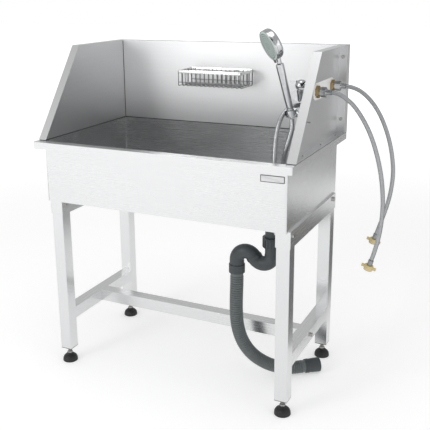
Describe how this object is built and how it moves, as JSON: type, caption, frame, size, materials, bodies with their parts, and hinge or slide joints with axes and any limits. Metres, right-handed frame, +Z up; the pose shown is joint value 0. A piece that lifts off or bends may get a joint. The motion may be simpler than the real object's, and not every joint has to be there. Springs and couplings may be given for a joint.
{
  "type": "pet bathtub",
  "caption": "Stainless steel pet wash tub on a bolted leg frame with splash panels, a mixer tap, a hand shower on a hose, a wire basket and a trapped waste hose.",
  "frame": {"origin": "floor level, in the middle of the tub's rim seen from above", "axes": "+Z up, +X to the right of a person standing at the open front, -Y towards that person"},
  "size_m": [1.0389, 0.53, 1.1211],
  "materials": {
    "brushed_steel": "brushed stainless sheet with a fine horizontal grain",
    "zinc_plated_fasteners": "bright plated",
    "black_plastic": "moulded, fine matt grain",
    "sealing_strip": "soft matt strip",
    "plate_silver": "plain silver-white face with a thin dark edge",
    "basket_wire": "polished welded wire",
    "chrome": "polished chrome plate",
    "cartridge_plastic": "grey moulded",
    "strainer_steel": "pressed and polished",
    "spray_face_plastic": "pale grey-green with soft nozzles",
    "shower_hose_steel": "interlocked metal strip",
    "braided_hose": "woven stainless braid",
    "hose_tail_steel": "crimped and turned",
    "wing_nut_plastic": "cream-yellow moulded",
    "white_plastic": "white moulded",
    "brass": "machined, lightly tarnished",
    "waste_plastic": "dark grey-green moulded"
  },
  "bodies": {
    "tub": {"tub_basin": "brushed_steel", "back_panel": "brushed_steel", "left_panel": "brushed_steel", "right_panel": "brushed_steel", "left_support_rail": "brushed_steel", "right_support_rail": "brushed_steel", "leg_front_left": "brushed_steel", "leg_front_right": "brushed_steel", "leg_back_left": "brushed_steel", "leg_back_right": "brushed_steel", "left_lower_rail": "brushed_steel", "right_lower_rail": "brushed_steel", "stretcher": "brushed_steel", "panel_bolts": "zinc_plated_fasteners", "panel_screws": "zinc_plated_fasteners", "frame_bolts": "zinc_plated_fasteners", "foot_lock_nuts": "zinc_plated_fasteners", "leg_inserts": "black_plastic", "panel_seals": "sealing_strip", "name_plate": "plate_silver", "wire_basket": "basket_wire", "mixer_body": "chrome", "union_nuts": "chrome", "mixer_inlets": "chrome", "outlet_elbow": "chrome", "mixer_hose_nut": "chrome", "swivel_nut_front": "chrome", "swivel_nut_back": "chrome", "drain_flange": "chrome", "shower_holder": "chrome", "shower_hose": "shower_hose_steel", "supply_hose_front": "braided_hose", "supply_hose_back": "braided_hose", "hose_tail_front": "hose_tail_steel", "hose_tail_back": "hose_tail_steel", "backing_plate": "white_plastic", "brass_lock_nuts": "brass", "drain_nuts": "waste_plastic", "tailpiece": "waste_plastic", "trap_bend": "waste_plastic", "trap_arch": "waste_plastic", "waste_hose": "waste_plastic", "waste_cuff": "waste_plastic"},
    "mixer_hub": {"cartridge_stem": "cartridge_plastic"},
    "lever": {"mixer_lever": "chrome"},
    "handset": {"handset_handle": "chrome", "handset_head": "chrome", "handset_hose_nut": "chrome"},
    "spray_face": {"spray_plate": "spray_face_plastic"},
    "strainer": {"drain_strainer": "strainer_steel"},
    "front_wing_nut": {"wing_nut_front": "wing_nut_plastic"},
    "back_wing_nut": {"wing_nut_back": "wing_nut_plastic"},
    "foot_front_left": {"stud_front_left": "zinc_plated_fasteners", "pad_front_left": "black_plastic"},
    "foot_front_right": {"stud_front_right": "zinc_plated_fasteners", "pad_front_right": "black_plastic"},
    "foot_back_left": {"stud_back_left": "zinc_plated_fasteners", "pad_back_left": "black_plastic"},
    "foot_back_right": {"stud_back_right": "zinc_plated_fasteners", "pad_back_right": "black_plastic"}
  },
  "joints": [
    {"name": "mixer_temperature", "type": "hinge", "parent": "tub", "child": "mixer_hub", "pos_m": [0.33017, 0.076, 0.94432], "axis": [-0.766, 0, 0.6428], "range_deg": [-40, 40]},
    {"name": "mixer_flow", "type": "hinge", "parent": "mixer_hub", "child": "lever", "pos_m": [0.33017, 0.076, 0.94432], "axis": [0, 1, 0], "range_deg": [0, 18]},
    {"name": "handset_lift", "type": "slide", "parent": "tub", "child": "handset", "axis": [-0.183, -0.183, 0.9659], "range_m": [0, 0.08]},
    {"name": "spray_selector", "type": "hinge", "parent": "handset", "child": "spray_face", "pos_m": [0.29415, -0.11145, 1.07374], "axis": [-0.6409, -0.6409, -0.4226], "range_deg": [-30, 30]},
    {"name": "strainer_lift", "type": "slide", "parent": "tub", "child": "strainer", "axis": [0, 0, 1], "range_m": [0, 0.06]},
    {"name": "front_wing_nut_spin", "type": "hinge", "parent": "tub", "child": "front_wing_nut", "pos_m": [0.576, 0.001, 0.426], "axis": [-0.28, 0, -0.96], "continuous": true},
    {"name": "back_wing_nut_spin", "type": "hinge", "parent": "tub", "child": "back_wing_nut", "pos_m": [0.55359, 0.151, 0.45712], "axis": [-0.2964, 0, -0.9551], "continuous": true},
    {"name": "foot_front_left_level", "type": "slide", "parent": "tub", "child": "foot_front_left", "axis": [0, 0, 1], "range_m": [-0.025, 0.008]},
    {"name": "foot_front_right_level", "type": "slide", "parent": "tub", "child": "foot_front_right", "axis": [0, 0, 1], "range_m": [-0.025, 0.008]},
    {"name": "foot_back_left_level", "type": "slide", "parent": "tub", "child": "foot_back_left", "axis": [0, 0, 1], "range_m": [-0.025, 0.008]},
    {"name": "foot_back_right_level", "type": "slide", "parent": "tub", "child": "foot_back_right", "axis": [0, 0, 1], "range_m": [-0.025, 0.008]}
  ]
}
